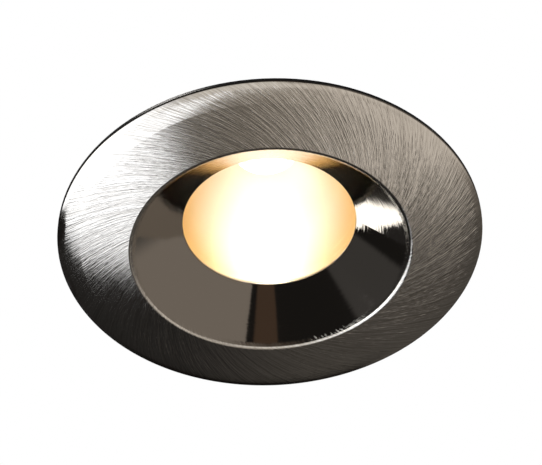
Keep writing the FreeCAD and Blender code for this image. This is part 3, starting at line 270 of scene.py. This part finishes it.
# Painted warm fringe, then painted shade, as the glass is seen at a shallower angle.
painted_warm_fringe = blend_colour(tree, ramp(tree, facing, PAINTED_WARM_FROM, PAINTED_WARM_FULL), CLEAR_TINT, PAINTED_WARM_TINT)
wire(tree, shader, Roughness=use(tree, "mottle", 120.0, 0.0, 0.02),
     Base_Color=blend_colour(tree, ramp(tree, facing, PAINTED_SHADE_FROM, PAINTED_SHADE_FULL), painted_warm_fringe, PAINTED_SHADE_TINT))
path = tree.nodes.new("ShaderNodeLightPath").outputs
ended = calc(tree, "MULTIPLY", path["Is Glossy Ray"], ramp(tree, facing, ENDS_FROM, ENDS_FULL))
dimmed = put(tree, "BsdfTransparent", {"Color": ENDED_RAYS})
passed = put(tree, "BsdfTransparent", {"Color": SHADOW_RAYS})
mixed = put(tree, "MixShader", (ended, shader.outputs[0], dimmed))
mixed = put(tree, "MixShader", (path["Is Shadow Ray"], mixed, passed))
tree.links.new(mixed, tree.nodes["Material Output"].inputs[0])
dress(glass, "lens_glass")

dress(surface("foam", (0.018, 0.018, 0.02), (0.035, 0.035, 0.036), 300.0, 0.8, 0.95, 2400.0, 1.2e-4),
      "soffit_gasket")
dress(surface("silicone", (0.80, 0.80, 0.77), (0.87, 0.87, 0.85), 200.0, 0.45, 0.6, 1800.0, 1e-5,
              Subsurface_Weight=0.1, Subsurface_Radius=(0.002, 0.002, 0.002)), "lid_seal")
dress(surface("dark_silicone", (0.030, 0.030, 0.031), (0.045, 0.045, 0.046), 200.0, 0.5, 0.65, 1800.0, 1e-5),
      "lens_seal")
dress(surface("black_anodised", (0.03, 0.03, 0.032), (0.05, 0.05, 0.053), 400.0, 0.3, 0.42, 3000.0, 4e-6,
              Metallic=0.9), "lens_clamp_ring")
dress(surface("black_rubber", (0.014, 0.014, 0.015), (0.028, 0.028, 0.029), 320.0, 0.6, 0.78, 2600.0, 1.6e-5),
      "body_o_ring", "lead_grommet", "gland_washer", "gland_seal", "clip_foot_right", "clip_foot_left")

# ------------------------------------------------------------------ reflector
# Aluminium bowl spun on a lathe, held by its brim between the glass and the clamp ring.  Its grooves
# run round, so the emitter's image is drawn out into one bright band.  It's pale straight on and
# golden at a shallow angle, a painted warm fall-off of the light towards the bowl's sides.

PAINTED_SIDES_FROM, PAINTED_SIDES_FULL = 0.12, 0.65      # facing over which pale turns to the painted golden sides
PALE_GROOVE, PALE_TOP, PAINTED_GOLDEN_SIDES = (0.93, 0.88, 0.80), (0.97, 0.93, 0.86), (0.93, 0.74, 0.42)
SPUN_SCALE, SPUN_DEPTH = 2.2, 3e-5

satin, tree, shader = material("satin_reflector", Metallic=1.0, Anisotropic=0.75, Anisotropic_Rotation=0.25)
radius, _, height = polar(tree)
grooves = noise(tree, put(tree, "CombineXYZ", (radius, height, 0.0)), SPUN_SCALE, 4.0, 0.6)
facing = put(tree, "LayerWeight", {"Blend": 0.5}, output="Facing")
painted_golden_sides = ramp(tree, facing, PAINTED_SIDES_FROM, PAINTED_SIDES_FULL)
wire(tree, shader,
     # Golden at a shallow angle: painted warm fall-off of the light at the bowl's sides.
     Base_Color=blend_colour(tree, painted_golden_sides, blend_colour(tree, grooves, PALE_GROOVE, PALE_TOP), PAINTED_GOLDEN_SIDES),
     Roughness=use(tree, "mottle", 150.0, 0.50, 0.56), Normal=bump(tree, grooves, SPUN_DEPTH),
     Tangent=put(tree, "Tangent", direction_type="RADIAL", axis="Z"))
dress(satin, "reflector")

# ------------------------------------------------------------------ emitter
# Phosphor disc that glows warm white on a white ceramic carrier.  A moulded holder with two screws
# clamps both to the casting over a soft grey pad, and two leads come in at its side.

GLOW_CELLS, GLOW_COLOURS = 900.0, ((1.0, 0.89, 0.76), (1.0, 0.85, 0.70))

glow, tree, shader = material("phosphor", Emission_Strength=78.0, Roughness=0.6)
spots = put(tree, "TexVoronoi", {"Vector": place(tree), "Scale": GLOW_CELLS}, feature="SMOOTH_F1")
wire(tree, shader, Base_Color=use(tree, "tint", 500.0, (0.85, 0.62, 0.12), (0.9, 0.7, 0.2)),
     Emission_Color=blend_colour(tree, ramp(tree, spots, 0.1, 0.9), *GLOW_COLOURS))
dress(glow, "led_phosphor")

dress(surface("ceramic", (0.80, 0.80, 0.78), (0.86, 0.86, 0.84), 240.0, 0.4, 0.55, 2600.0, 6e-6), "led_board")
dress(surface("thermal_pad", (0.36, 0.38, 0.41), (0.43, 0.45, 0.48), 260.0, 0.6, 0.75, 2200.0, 2e-5),
      "thermal_pad")
dress(surface("white_moulding", (0.76, 0.76, 0.73), (0.82, 0.82, 0.80), 180.0, 0.4, 0.52, 2600.0, 8e-6),
      "led_holder")
dress(surface("red_wire", (0.42, 0.02, 0.015), (0.52, 0.03, 0.02), 300.0, 0.35, 0.5, 2400.0, 6e-6),
      "led_lead_positive")
dress(surface("black_wire", (0.015, 0.015, 0.016), (0.03, 0.03, 0.03), 300.0, 0.35, 0.5, 2400.0, 6e-6),
      "led_lead_negative")

# ------------------------------------------------------------------ casting
# Die-cast aluminium body that carries everything else.  It's blasted to an even pebble, and it's a
# little darker towards the roots of its fins, as painted shade between them.

ROOT_RADIUS, TIP_RADIUS = 25.5, 31.5
ROOT_SHADE_GREY, TIP_GREY, WORN_GREY = (0.34, 0.345, 0.35), (0.47, 0.475, 0.48), (0.60, 0.605, 0.61)
BLASTED_SCALE, BLASTED_PITS, BLASTED_DEPTH = 2200.0, 0.9, 4.5e-5

cast, tree, shader = material("cast_aluminium", Metallic=0.92)
# Darker grey towards the fin roots: painted shade between the fins.
grey = blend_colour(tree, ramp(tree, polar(tree)[0], ROOT_RADIUS, TIP_RADIUS), ROOT_SHADE_GREY, TIP_GREY)
wire(tree, shader, Base_Color=blend_colour(tree, use(tree, "mottle", 220.0, 0.0, 0.35), grey, WORN_GREY),
     Roughness=use(tree, "mottle", 300.0, 0.42, 0.56),
     Normal=bump(tree, use(tree, "grain", BLASTED_SCALE, BLASTED_PITS), BLASTED_DEPTH))
dress(cast, "heat_sink")

# ------------------------------------------------------------------ screws and rivets
# Zinc-plated steel.  The screws hold the ring, the clips, the holder, the box, its lid and its board,
# and the rivets are the pivots of the two clip arms.

dress(surface("zinc_steel", (0.55, 0.56, 0.57), (0.68, 0.68, 0.67), 500.0, 0.2, 0.34, 2800.0, 6e-6,
              Metallic=1.0),
      "trim_screws", "led_holder_screws", "clip_screws", "box_screws", "lid_screws", "driver_board_screws",
      "clip_pin_right", "clip_pin_left")

# ------------------------------------------------------------------ clips
# Bracket and arm of rolled spring steel, with the mill's lines along the sheet.  The bracket is
# screwed to the casting.  Each torsion spring is coiled about its arm's pivot and built at rest: one
# leg lies on the bracket and the other along the arm.

ROLLED_SCALE = (900.0, 6000.0, 900.0)
ROLLED_GROOVE, ROLLED_TOP, ROLLED_DEPTH = (0.48, 0.475, 0.47), (0.62, 0.615, 0.61), 6e-6

rolled, tree, shader = material("spring_steel", Metallic=1.0)
stretched = put(tree, "Mapping", {"Vector": place(tree), "Scale": ROLLED_SCALE})
lines = noise(tree, stretched, 1.0, 4.0, 0.6)
wire(tree, shader, Base_Color=blend_colour(tree, lines, ROLLED_GROOVE, ROLLED_TOP),
     Roughness=use(tree, "mottle", 260.0, 0.24, 0.38), Normal=bump(tree, lines, ROLLED_DEPTH))
dress(rolled, "clip_bracket_right", "clip_bracket_left", "clip_arm_right", "clip_arm_left")

WIRE_RADIUS, COIL_RADIUS, COIL_PITCH, COIL_TURNS = 0.00045, 0.0020, 0.0014, 4
FIXED_LEG, ARM_LEG, ARM_REST_ANGLE = 0.0045, 0.011, -20.0
LEG_START, CUT_END = 0.0002, 0.8             # first step from coil to leg, and the wire's size at its ends
COIL_STEPS, FIXED_STEPS, ARM_STEPS, ROUND_STEPS = 300, 12, 24, 16


def torsion_spring(side, word):
    """Round wire along leg, helix and leg.  The helix is (R cos a, pitch a / 2 pi, R sin a) about the
    pivot, and the wire's circle is carried in the plane square to the path."""
    pivot = np.array(next(j["pos_m"] for j in frame["joints"] if j["name"] == f"clip_{word}_fold"))
    sweep = math.radians(360.0 * COIL_TURNS + 90.0 + ARM_REST_ANGLE)
    length = COIL_PITCH * sweep / (2 * math.pi)
    a = np.linspace(math.pi, math.pi + sweep, COIL_STEPS)
    coil = np.stack([COIL_RADIUS * np.cos(a), length * ((a - math.pi) / sweep - 0.5),
                     COIL_RADIUS * np.sin(a)], 1)
    start_way, end_way = (np.array([-math.sin(turn), 0.0, math.cos(turn)]) for turn in (a[0], a[-1]))
    lead_in = coil[0] - start_way * np.linspace(FIXED_LEG, LEG_START, FIXED_STEPS)[:, None]
    lead_out = coil[-1] + end_way * np.linspace(LEG_START, ARM_LEG, ARM_STEPS)[:, None]
    path = np.concatenate([lead_in, coil, lead_out])
    way = np.gradient(path, axis=0)
    way /= np.linalg.norm(way, axis=1)[:, None]
    across = np.cross(way, np.array([0.0, 1.0, 0.0]))
    across /= np.linalg.norm(across, axis=1)[:, None]
    upward = np.cross(way, across)
    turn = np.linspace(0, 2 * math.pi, ROUND_STEPS, endpoint=False)
    size = np.full(len(path), WIRE_RADIUS)
    size[[0, -1]] *= CUT_END
    circle = (np.cos(turn)[None, :, None] * across[:, None] + np.sin(turn)[None, :, None] * upward[:, None])
    points = (path[:, None] + size[:, None, None] * circle).reshape(-1, 3)
    points[:, 0] *= side
    points += pivot
    rings, count = len(path), len(turn)
    ring, spoke = np.meshgrid(np.arange(rings - 1), np.arange(count), indexing="ij")
    after = (spoke + 1) % count
    quads = np.stack([ring * count + spoke, ring * count + after,
                      (ring + 1) * count + after, (ring + 1) * count + spoke], -1).reshape(-1, 4)
    faces = quads.tolist() + [list(range(count))[::-1], list(range((rings - 1) * count, rings * count))]
    faces = faces if side > 0 else [face[::-1] for face in faces]
    mesh = bpy.data.meshes.new("clip_spring_wire_" + word)
    mesh.from_pydata(points.tolist(), [], faces)
    mesh.polygons.foreach_set("use_smooth", [len(face) == 4 for face in faces])
    mesh.materials.append(rolled)
    piece = bpy.data.objects.new(mesh.name, mesh)
    bpy.context.scene.collection.objects.link(piece)
    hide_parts("clip_spring_" + word)
    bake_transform(piece)


torsion_spring(1, "right")
torsion_spring(-1, "left")

# ------------------------------------------------------------------ driver box and gland
# Black polyamide from an eroded mould: an even fine grain on the box, smoother on the gland.  Four
# screws hold the box to the casting, its lid is hooked and screwed, and the gland screws into it.

dress(surface("black_moulding", (0.020, 0.020, 0.022), (0.030, 0.030, 0.032), 160.0, 0.42, 0.55, 1900.0,
              3.5e-5), "driver_box", "box_lid")
dress(surface("black_nylon", (0.016, 0.016, 0.018), (0.026, 0.026, 0.028), 260.0, 0.32, 0.44, 2600.0, 1.2e-5),
      "gland_body", "gland_nut")

# ------------------------------------------------------------------ driver board
# Green coated board with copper runs under the coating, on two screws in the box.  The parts that
# stand on it are soldered to it.

RUNS_PER_METRE, RUN_LENGTH, RUN_SPACING, RUN_GAP, RUN_EDGE = 190.0, 1.1, 0.42, 0.16, 0.1
OVER_GAP, OVER_COPPER, RUN_HEIGHT = (0.012, 0.10, 0.035), (0.02, 0.17, 0.06), 3e-5
WHITE, DARK = (1.0, 1.0, 1.0, 1.0), (0.0, 0.0, 0.0, 1.0)

coated, tree, shader = material("coated_board", Coat_Roughness=0.15)
grid = put(tree, "Mapping", {"Vector": place(tree), "Scale": (RUNS_PER_METRE,) * 3})
runs = put(tree, "TexBrick", {"Vector": grid, "Color1": WHITE, "Color2": WHITE, "Mortar": DARK, "Scale": 1.0,
                              "Mortar Size": RUN_GAP, "Mortar Smooth": RUN_EDGE,
                              "Brick Width": RUN_LENGTH, "Row Height": RUN_SPACING})
wire(tree, shader, Base_Color=blend_colour(tree, runs, OVER_GAP, OVER_COPPER),
     Roughness=use(tree, "mottle", 300.0, 0.3, 0.42), Normal=bump(tree, runs, RUN_HEIGHT),
     Coat_Weight=use(tree, "mottle", 200.0, 0.4, 0.6))
dress(coated, "driver_board")
for name, first, second, patch, low, high, pebble, depth, dressed in (
        ("green_moulding", (0.02, 0.22, 0.08), (0.03, 0.27, 0.10), 260.0, 0.32, 0.42, 2400.0, 6e-6,
         ("terminal_block",)),
        ("orange_moulding", (0.72, 0.20, 0.02), (0.80, 0.25, 0.03), 260.0, 0.32, 0.42, 2400.0, 6e-6,
         ("terminal_button_live", "terminal_button_neutral", "terminal_button_earth")),
        ("ferrite", (0.045, 0.045, 0.05), (0.075, 0.075, 0.08), 400.0, 0.5, 0.65, 2200.0, 3e-5,
         ("transformer_core", "input_choke")),
        ("wound_tape", (0.70, 0.48, 0.05), (0.80, 0.58, 0.08), 260.0, 0.25, 0.4, 1400.0, 2e-5,
         ("transformer_winding",)),
        ("shrink_sleeve", (0.02, 0.025, 0.045), (0.03, 0.035, 0.06), 240.0, 0.2, 0.3, 2200.0, 6e-6,
         ("bulk_capacitor",)),
        ("grey_moulding", (0.30, 0.31, 0.32), (0.36, 0.37, 0.38), 240.0, 0.35, 0.45, 2200.0, 8e-6,
         ("film_capacitor",)),
        ("dark_moulding", (0.02, 0.02, 0.022), (0.035, 0.035, 0.037), 240.0, 0.35, 0.45, 2200.0, 8e-6,
         ("input_fuse", "bridge_rectifier")),
        ("dipped_ceramic", (0.03, 0.07, 0.32), (0.04, 0.09, 0.40), 300.0, 0.3, 0.4, 1500.0, 2e-5,
         ("surge_varistor",))):
    dress(surface(name, first, second, patch, low, high, pebble, depth), *dressed)
dress(surface("tinned_brass", (0.66, 0.65, 0.60), (0.74, 0.73, 0.70), 500.0, 0.22, 0.34, 2800.0, 4e-6,
              Metallic=1.0), "terminal_contacts")

# ------------------------------------------------------------------ soffit and floor
# Staging, not part of the light.  The soffit hides the body from below, as in the photograph, and
# the floor, which the rim rests on, shows only from above.

RING_POINTS = 96
MIRRORED = 0.03                              # the soffit's brightness in the metal, against 1 for the camera
HOLE, BOARD, FLOOR, PINHOLE = 0.034, 1.2, 4.0, 0.00001    # radii
AIR = 0.00005                                # keeps both rings off the faces beside them
FLOOR_COLOUR, FLOOR_SHADE, FLOOR_SPECKLE = (0.82, 0.82, 0.81), 0.985, 40.0


def one_sided(name, inner, outer, level, facing, colour):
    """Flat ring between two circles, seen from one side only.  With a colour, it's matt and only the
    camera sees it.  Without one, it's plain white to the camera and almost black to mirrored rays."""
    turn = np.linspace(0, 2 * math.pi, RING_POINTS, endpoint=False)
    circle = np.stack([np.cos(turn), np.sin(turn), 0 * turn], 1)
    points = np.concatenate([circle * inner, circle * outer]) + np.array([0, 0, level])
    here = np.arange(RING_POINTS)
    after = (here + 1) % RING_POINTS
    quads = np.stack([here, here + RING_POINTS, after + RING_POINTS, after], 1)[:, ::facing]
    mesh = bpy.data.meshes.new(name)
    mesh.from_pydata(points.tolist(), [], quads.tolist())
    piece = bpy.data.objects.new(name, mesh)
    bpy.context.scene.collection.objects.link(piece)
    made = bpy.data.materials.new(name)
    made.use_nodes = True
    tree = made.node_tree
    tree.nodes.clear()
    path = tree.nodes.new("ShaderNodeLightPath").outputs
    if colour:
        rays = path["Is Camera Ray"]
        speckle = noise(tree, place(tree), FLOOR_SPECKLE, 4.0)
        shades = blend_colour(tree, speckle, tuple(FLOOR_SHADE * part for part in colour), colour)
        front = put(tree, "BsdfDiffuse", {"Color": shades})
    else:
        rays = calc(tree, "ADD", path["Is Camera Ray"], path["Is Glossy Ray"])
        glare = ramp(tree, path["Is Camera Ray"], 0.0, 1.0, MIRRORED, 1.0)
        front = put(tree, "Emission", {"Color": (1, 1, 1, 1), "Strength": glare})
    from_front = calc(tree, "SUBTRACT", 1.0, put(tree, "NewGeometry", output="Backfacing"))
    seen = calc(tree, "MULTIPLY", rays, from_front)
    end = tree.nodes.new("ShaderNodeOutputMaterial")
    tree.links.new(put(tree, "MixShader", (seen, put(tree, "BsdfTransparent"), front)), end.inputs[0])
    mesh.materials.append(made)


one_sided("soffit_board", HOLE, BOARD, AIR, -1, None)
one_sided("floor", PINHOLE, FLOOR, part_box("trim_ring")[0].z - AIR, 1, FLOOR_COLOUR)

# ------------------------------------------------------------------ studio
# White for the camera.  Other rays see a dim warm room with soft boxes in it, and a lamp lights the
# body from above.  Each box is given by its compass angle about Z (0 is +Y, positive towards +X) and
# its rise, both in degrees.

ANY = (-400.0, 400.0)
DIM_FROM, DIM_TO = -10.0, 6.0                # compass over which the room turns from dark to dim
DARK_ROOM, DIM_ROOM = (0.020, 0.019, 0.018), (0.078, 0.071, 0.063)

world = bpy.data.worlds.new("studio")
world.use_nodes = True
tree = world.node_tree
tree.nodes.clear()
split = tree.nodes.new("ShaderNodeSeparateXYZ")
tree.links.new(put(tree, "TexCoord", output="Generated"), split.inputs[0])
x, y, z = split.outputs
compass = calc(tree, "MULTIPLY", calc(tree, "ARCTAN2", x, y), 180 / math.pi)
rise = calc(tree, "MULTIPLY", calc(tree, "ARCSINE", z), 180 / math.pi)


def soft_box(room, compass_range, rise_range, edges, colour):
    """Lays a rectangle of this colour over the room.  Its edges are soft over so many degrees:
    low compass, high compass, low rise, high rise."""
    inside = 1.0
    for value, limits, softness in ((compass, compass_range, edges[:2]), (rise, rise_range, edges[2:])):
        for limit, soft, sign in zip(limits, softness, (1, -1)):
            part = ramp(tree, value, limit - sign * soft / 2, limit + sign * soft / 2)
            inside = calc(tree, "MULTIPLY", inside, part)
    return blend_colour(tree, inside, room, colour)


room = blend_colour(tree, ramp(tree, compass, DIM_FROM, DIM_TO), DARK_ROOM, DIM_ROOM)
for compass_range, rise_range, edges, colour in (
        ((40.0, 151.5), (-64.0, 3.0), (15, 2, 6, 8), (0.205, 0.177, 0.150)),       # wall on the right
        ((151.5, 400.0), (-64.0, 3.0), (2, 1, 6, 8), (0.010, 0.009, 0.008)),       # dark behind
        ((159.0, 400.0), (-64.0, 3.0), (3, 1, 6, 8), (0.060, 0.038, 0.025)),       # brown strip in it
        ((-400.0, -177.0), (-64.0, 3.0), (1, 3, 6, 8), (0.060, 0.038, 0.025)),     # and its far side
        ((-177.0, -45.0), (-70.0, 8.0), (3, 8, 6, 8), (0.011, 0.010, 0.009)),      # dark on the left
        ((-104.0, -58.0), (-47.0, -12.0), (5, 5, 4, 4), (0.050, 0.047, 0.044)),    # grey panel in it
        (ANY, (-91.0, -60.6), (1, 1, 1, 8), (0.225, 0.200, 0.168)),                # table
        (ANY, (-91.0, -74.5), (1, 1, 1, 4), (0.76, 0.72, 0.66)),                   # its lit middle
        ((15.0, 56.0), (-80.0, -47.5), (9, 12, 8, 5), (0.69, 0.63, 0.56)),         # pale card on the right
        ((-60.0, -20.0), (-69.0, -42.3), (12, 4, 14, 3), (1.84, 1.90, 2.00)),      # key box, low on the left
        ((-87.5, -54.0), (-69.0, -39.5), (4, 12, 14, 5), (2.8, 2.8, 2.75)),        # and its stronger end
        ((-34.0, 10.0), (-18.0, 14.0), (3, 4, 5, 4), (0.008, 0.007, 0.006)),       # dark straight ahead
        (ANY, (14.0, 91.0), (1, 1, 10, 1), (0.62, 0.62, 0.62)),                    # above the soffit
        ((-150.0, -60.0), (20.0, 62.0), (10, 10, 10, 10), (2.6, 2.6, 2.6)),        # window up there
        ((60.0, 130.0), (15.0, 55.0), (10, 10, 10, 10), (1.5, 1.5, 1.5)),          # weaker one opposite
        (ANY, (68.0, 91.0), (1, 1, 12, 1), (1.6, 1.6, 1.6))):                      # ceiling
    room = soft_box(room, compass_range, rise_range, edges, colour)
sky = put(tree, "Background", {"Color": room, "Strength": 1.0})
plain = put(tree, "Background", {"Color": (1, 1, 1, 1), "Strength": 1.0})
end = tree.nodes.new("ShaderNodeOutputWorld")
by_camera = put(tree, "LightPath", output="Is Camera Ray")
tree.links.new(put(tree, "MixShader", (by_camera, sky, plain)), end.inputs[0])
bpy.context.scene.world = world

lamp = bpy.data.lights.new("key", "AREA")
lamp.shape = "DISK"
lamp.size = 0.35
lamp.energy = 6.0
key = bpy.data.objects.new("key", lamp)
bpy.context.scene.collection.objects.link(key)
key.location = (-0.45, -0.35, 0.75)
key.rotation_euler = (Vector((0, 0, 0.03)) - key.location).to_track_quat("-Z", "Y").to_euler()

# ------------------------------------------------------------------ camera
# Below and in front, looking up by 45.5 degrees at the middle of the hole in the soffit, held with
# a slight roll.  Yaw and pitch then move the light a little within the picture.

elevation, roll, yaw, pitch = (math.radians(v) for v in (45.51, -2.76, 0.043, 0.473))
distance, focal_pixels, picture_width, sensor = 0.28807, 1500.0, 542.0, 36.0
ahead = Vector((0, math.cos(elevation), math.sin(elevation)))
right = Vector((1, 0, 0))
above = right.cross(ahead)
spot = -distance * ahead
right, ahead = (math.cos(yaw) * right - math.sin(yaw) * ahead,
                math.sin(yaw) * right + math.cos(yaw) * ahead)
above, ahead = (math.cos(pitch) * above - math.sin(pitch) * ahead,
                math.sin(pitch) * above + math.cos(pitch) * ahead)
right, above = (math.cos(roll) * right + math.sin(roll) * above,
                math.cos(roll) * above - math.sin(roll) * right)
lens = bpy.data.cameras.new("camera")
lens.sensor_width = sensor
lens.lens = focal_pixels * sensor / picture_width
lens.clip_start = 0.01
lens.clip_end = 20.0
camera = bpy.data.objects.new("camera", lens)
bpy.context.scene.collection.objects.link(camera)
camera.matrix_world = Matrix.Translation(spot) @ Matrix((right, above, -ahead)).transposed().to_4x4()
bpy.context.scene.camera = camera
bpy.context.scene.view_settings.view_transform = "Standard"
